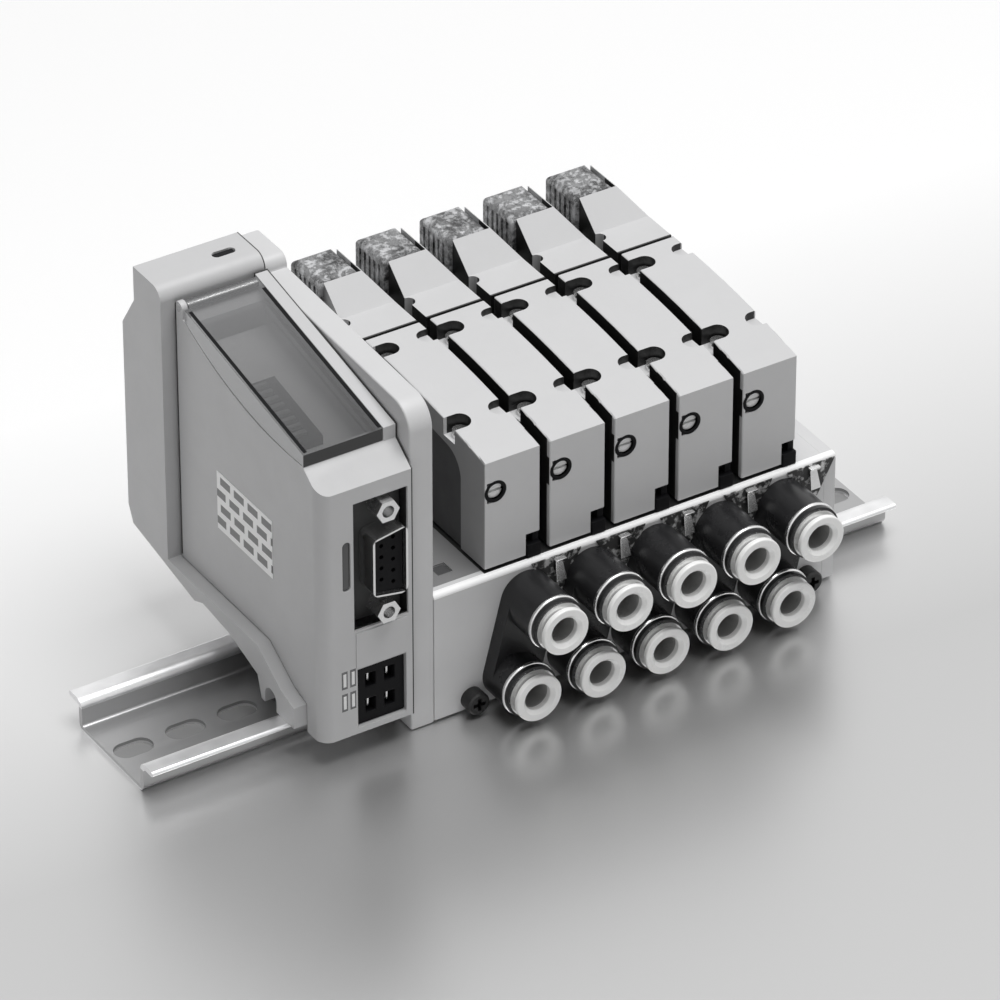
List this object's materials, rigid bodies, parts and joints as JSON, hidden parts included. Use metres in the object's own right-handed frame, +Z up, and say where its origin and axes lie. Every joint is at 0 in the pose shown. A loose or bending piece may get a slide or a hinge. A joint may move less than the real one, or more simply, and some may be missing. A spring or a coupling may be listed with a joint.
{
  "type": "pneumatic valve island",
  "caption": "Rail-mounted pneumatic valve island: slim solenoid valves side by side on a manifold with push-in tube fittings, and a bus interface unit with a window at the left.",
  "frame": {"origin": "centre of the underside of the mounting rail", "axes": "+X along the rail from the interface unit to the valves, -Y the side of the tube fittings, +Z up"},
  "size_m": [0.1854, 0.0935, 0.0873],
  "materials": {
    "zinc_rail": "passivated zinc sheet",
    "base_resin": "fine moulded grain",
    "adapter_resin": "fine moulded grain",
    "unit_resin": "fine moulded grain",
    "cover_resin": "smooth moulded",
    "body_resin": "smooth moulded",
    "fitting_resin": "satin moulded",
    "collar_resin": "smooth acetal",
    "smoked_window": "smoked clear",
    "smoked_cover": "smoked clear",
    "plated_steel": "nickel plated",
    "black_steel": "blackened",
    "spool_metal": "ground",
    "button_resin": "smooth moulded",
    "seal_rubber": "matte",
    "connector_resin": "satin moulded",
    "board_laminate": "coated laminate",
    "lens_resin": "clear lens",
    "coil_copper": "enamelled wire"
  },
  "bodies": {
    "island": {"adapter_plate": "adapter_resin", "bus_connector_body": "connector_resin", "bus_connector_shell": "plated_steel", "clamp_screws": "black_steel", "connector_covers": "smoked_cover", "din_rail": "zinc_rail", "end_plate": "base_resin", "fitting_clips": "plated_steel", "guide_rings": "plated_steel", "hinge_pin": "plated_steel", "indicator_board": "board_laminate", "indicator_windows": "lens_resin", "jack_screws": "plated_steel", "main_board": "board_laminate", "manifold_base": "base_resin", "pilot_caps": "cover_resin", "pilot_coils": "coil_copper", "port_blocks": "fitting_resin", "power_plug": "connector_resin", "rail_clamps": "black_steel", "si_front_housing": "unit_resin", "si_rear_housing": "unit_resin", "switch_block": "connector_resin", "tube_chucks": "plated_steel", "tube_seals": "seal_rubber", "valve_body_1": "body_resin", "valve_body_2": "body_resin", "valve_body_3": "body_resin", "valve_body_4": "body_resin", "valve_body_5": "body_resin", "valve_cover_1": "cover_resin", "valve_cover_2": "cover_resin", "valve_cover_3": "cover_resin", "valve_cover_4": "cover_resin", "valve_cover_5": "cover_resin", "valve_gaskets": "seal_rubber", "valve_screws": "plated_steel"},
    "window": {"window_cover": "smoked_window"},
    "collar_upper_1": {"release_collar_upper_1": "collar_resin"},
    "collar_upper_2": {"release_collar_upper_2": "collar_resin"},
    "collar_upper_3": {"release_collar_upper_3": "collar_resin"},
    "collar_upper_4": {"release_collar_upper_4": "collar_resin"},
    "collar_upper_5": {"release_collar_upper_5": "collar_resin"},
    "collar_lower_1": {"release_collar_lower_1": "collar_resin"},
    "collar_lower_2": {"release_collar_lower_2": "collar_resin"},
    "collar_lower_3": {"release_collar_lower_3": "collar_resin"},
    "collar_lower_4": {"release_collar_lower_4": "collar_resin"},
    "collar_lower_5": {"release_collar_lower_5": "collar_resin"},
    "button_1": {"override_button_1": "button_resin"},
    "spool_1": {"spool_1": "spool_metal"},
    "button_2": {"override_button_2": "button_resin"},
    "spool_2": {"spool_2": "spool_metal"},
    "button_3": {"override_button_3": "button_resin"},
    "spool_3": {"spool_3": "spool_metal"},
    "button_4": {"override_button_4": "button_resin"},
    "spool_4": {"spool_4": "spool_metal"},
    "button_5": {"override_button_5": "button_resin"},
    "spool_5": {"spool_5": "spool_metal"}
  },
  "joints": [
    {"name": "window_hinge", "type": "hinge", "parent": "island", "child": "window", "pos_m": [-0.047, 0.0299, 0.08311], "axis": [-1, 0, 0], "range_deg": [0, 85]},
    {"name": "collar_upper_1_slide", "type": "slide", "parent": "island", "child": "collar_upper_1", "axis": [0, 1, 0], "range_m": [0, 0.001], "stiffness_N_per_m": 200},
    {"name": "collar_upper_2_slide", "type": "slide", "parent": "island", "child": "collar_upper_2", "axis": [0, 1, 0], "range_m": [0, 0.001], "stiffness_N_per_m": 200},
    {"name": "collar_upper_3_slide", "type": "slide", "parent": "island", "child": "collar_upper_3", "axis": [0, 1, 0], "range_m": [0, 0.001], "stiffness_N_per_m": 200},
    {"name": "collar_upper_4_slide", "type": "slide", "parent": "island", "child": "collar_upper_4", "axis": [0, 1, 0], "range_m": [0, 0.001], "stiffness_N_per_m": 200},
    {"name": "collar_upper_5_slide", "type": "slide", "parent": "island", "child": "collar_upper_5", "axis": [0, 1, 0], "range_m": [0, 0.001], "stiffness_N_per_m": 200},
    {"name": "collar_lower_1_slide", "type": "slide", "parent": "island", "child": "collar_lower_1", "axis": [0, 1, 0], "range_m": [0, 0.001], "stiffness_N_per_m": 200},
    {"name": "collar_lower_2_slide", "type": "slide", "parent": "island", "child": "collar_lower_2", "axis": [0, 1, 0], "range_m": [0, 0.001], "stiffness_N_per_m": 200},
    {"name": "collar_lower_3_slide", "type": "slide", "parent": "island", "child": "collar_lower_3", "axis": [0, 1, 0], "range_m": [0, 0.001], "stiffness_N_per_m": 200},
    {"name": "collar_lower_4_slide", "type": "slide", "parent": "island", "child": "collar_lower_4", "axis": [0, 1, 0], "range_m": [0, 0.001], "stiffness_N_per_m": 200},
    {"name": "collar_lower_5_slide", "type": "slide", "parent": "island", "child": "collar_lower_5", "axis": [0, 1, 0], "range_m": [0, 0.001], "stiffness_N_per_m": 200},
    {"name": "button_1_press", "type": "slide", "parent": "island", "child": "button_1", "axis": [0, 1, 0], "range_m": [0, 0.0012], "stiffness_N_per_m": 300},
    {"name": "spool_1_shift", "type": "slide", "parent": "island", "child": "spool_1", "axis": [0, -1, 0], "range_m": [0, 0.002], "stiffness_N_per_m": 400},
    {"name": "button_2_press", "type": "slide", "parent": "island", "child": "button_2", "axis": [0, 1, 0], "range_m": [0, 0.0012], "stiffness_N_per_m": 300},
    {"name": "spool_2_shift", "type": "slide", "parent": "island", "child": "spool_2", "axis": [0, -1, 0], "range_m": [0, 0.002], "stiffness_N_per_m": 400},
    {"name": "button_3_press", "type": "slide", "parent": "island", "child": "button_3", "axis": [0, 1, 0], "range_m": [0, 0.0012], "stiffness_N_per_m": 300},
    {"name": "spool_3_shift", "type": "slide", "parent": "island", "child": "spool_3", "axis": [0, -1, 0], "range_m": [0, 0.002], "stiffness_N_per_m": 400},
    {"name": "button_4_press", "type": "slide", "parent": "island", "child": "button_4", "axis": [0, 1, 0], "range_m": [0, 0.0012], "stiffness_N_per_m": 300},
    {"name": "spool_4_shift", "type": "slide", "parent": "island", "child": "spool_4", "axis": [0, -1, 0], "range_m": [0, 0.002], "stiffness_N_per_m": 400},
    {"name": "button_5_press", "type": "slide", "parent": "island", "child": "button_5", "axis": [0, 1, 0], "range_m": [0, 0.0012], "stiffness_N_per_m": 300},
    {"name": "spool_5_shift", "type": "slide", "parent": "island", "child": "spool_5", "axis": [0, -1, 0], "range_m": [0, 0.002], "stiffness_N_per_m": 400}
  ]
}
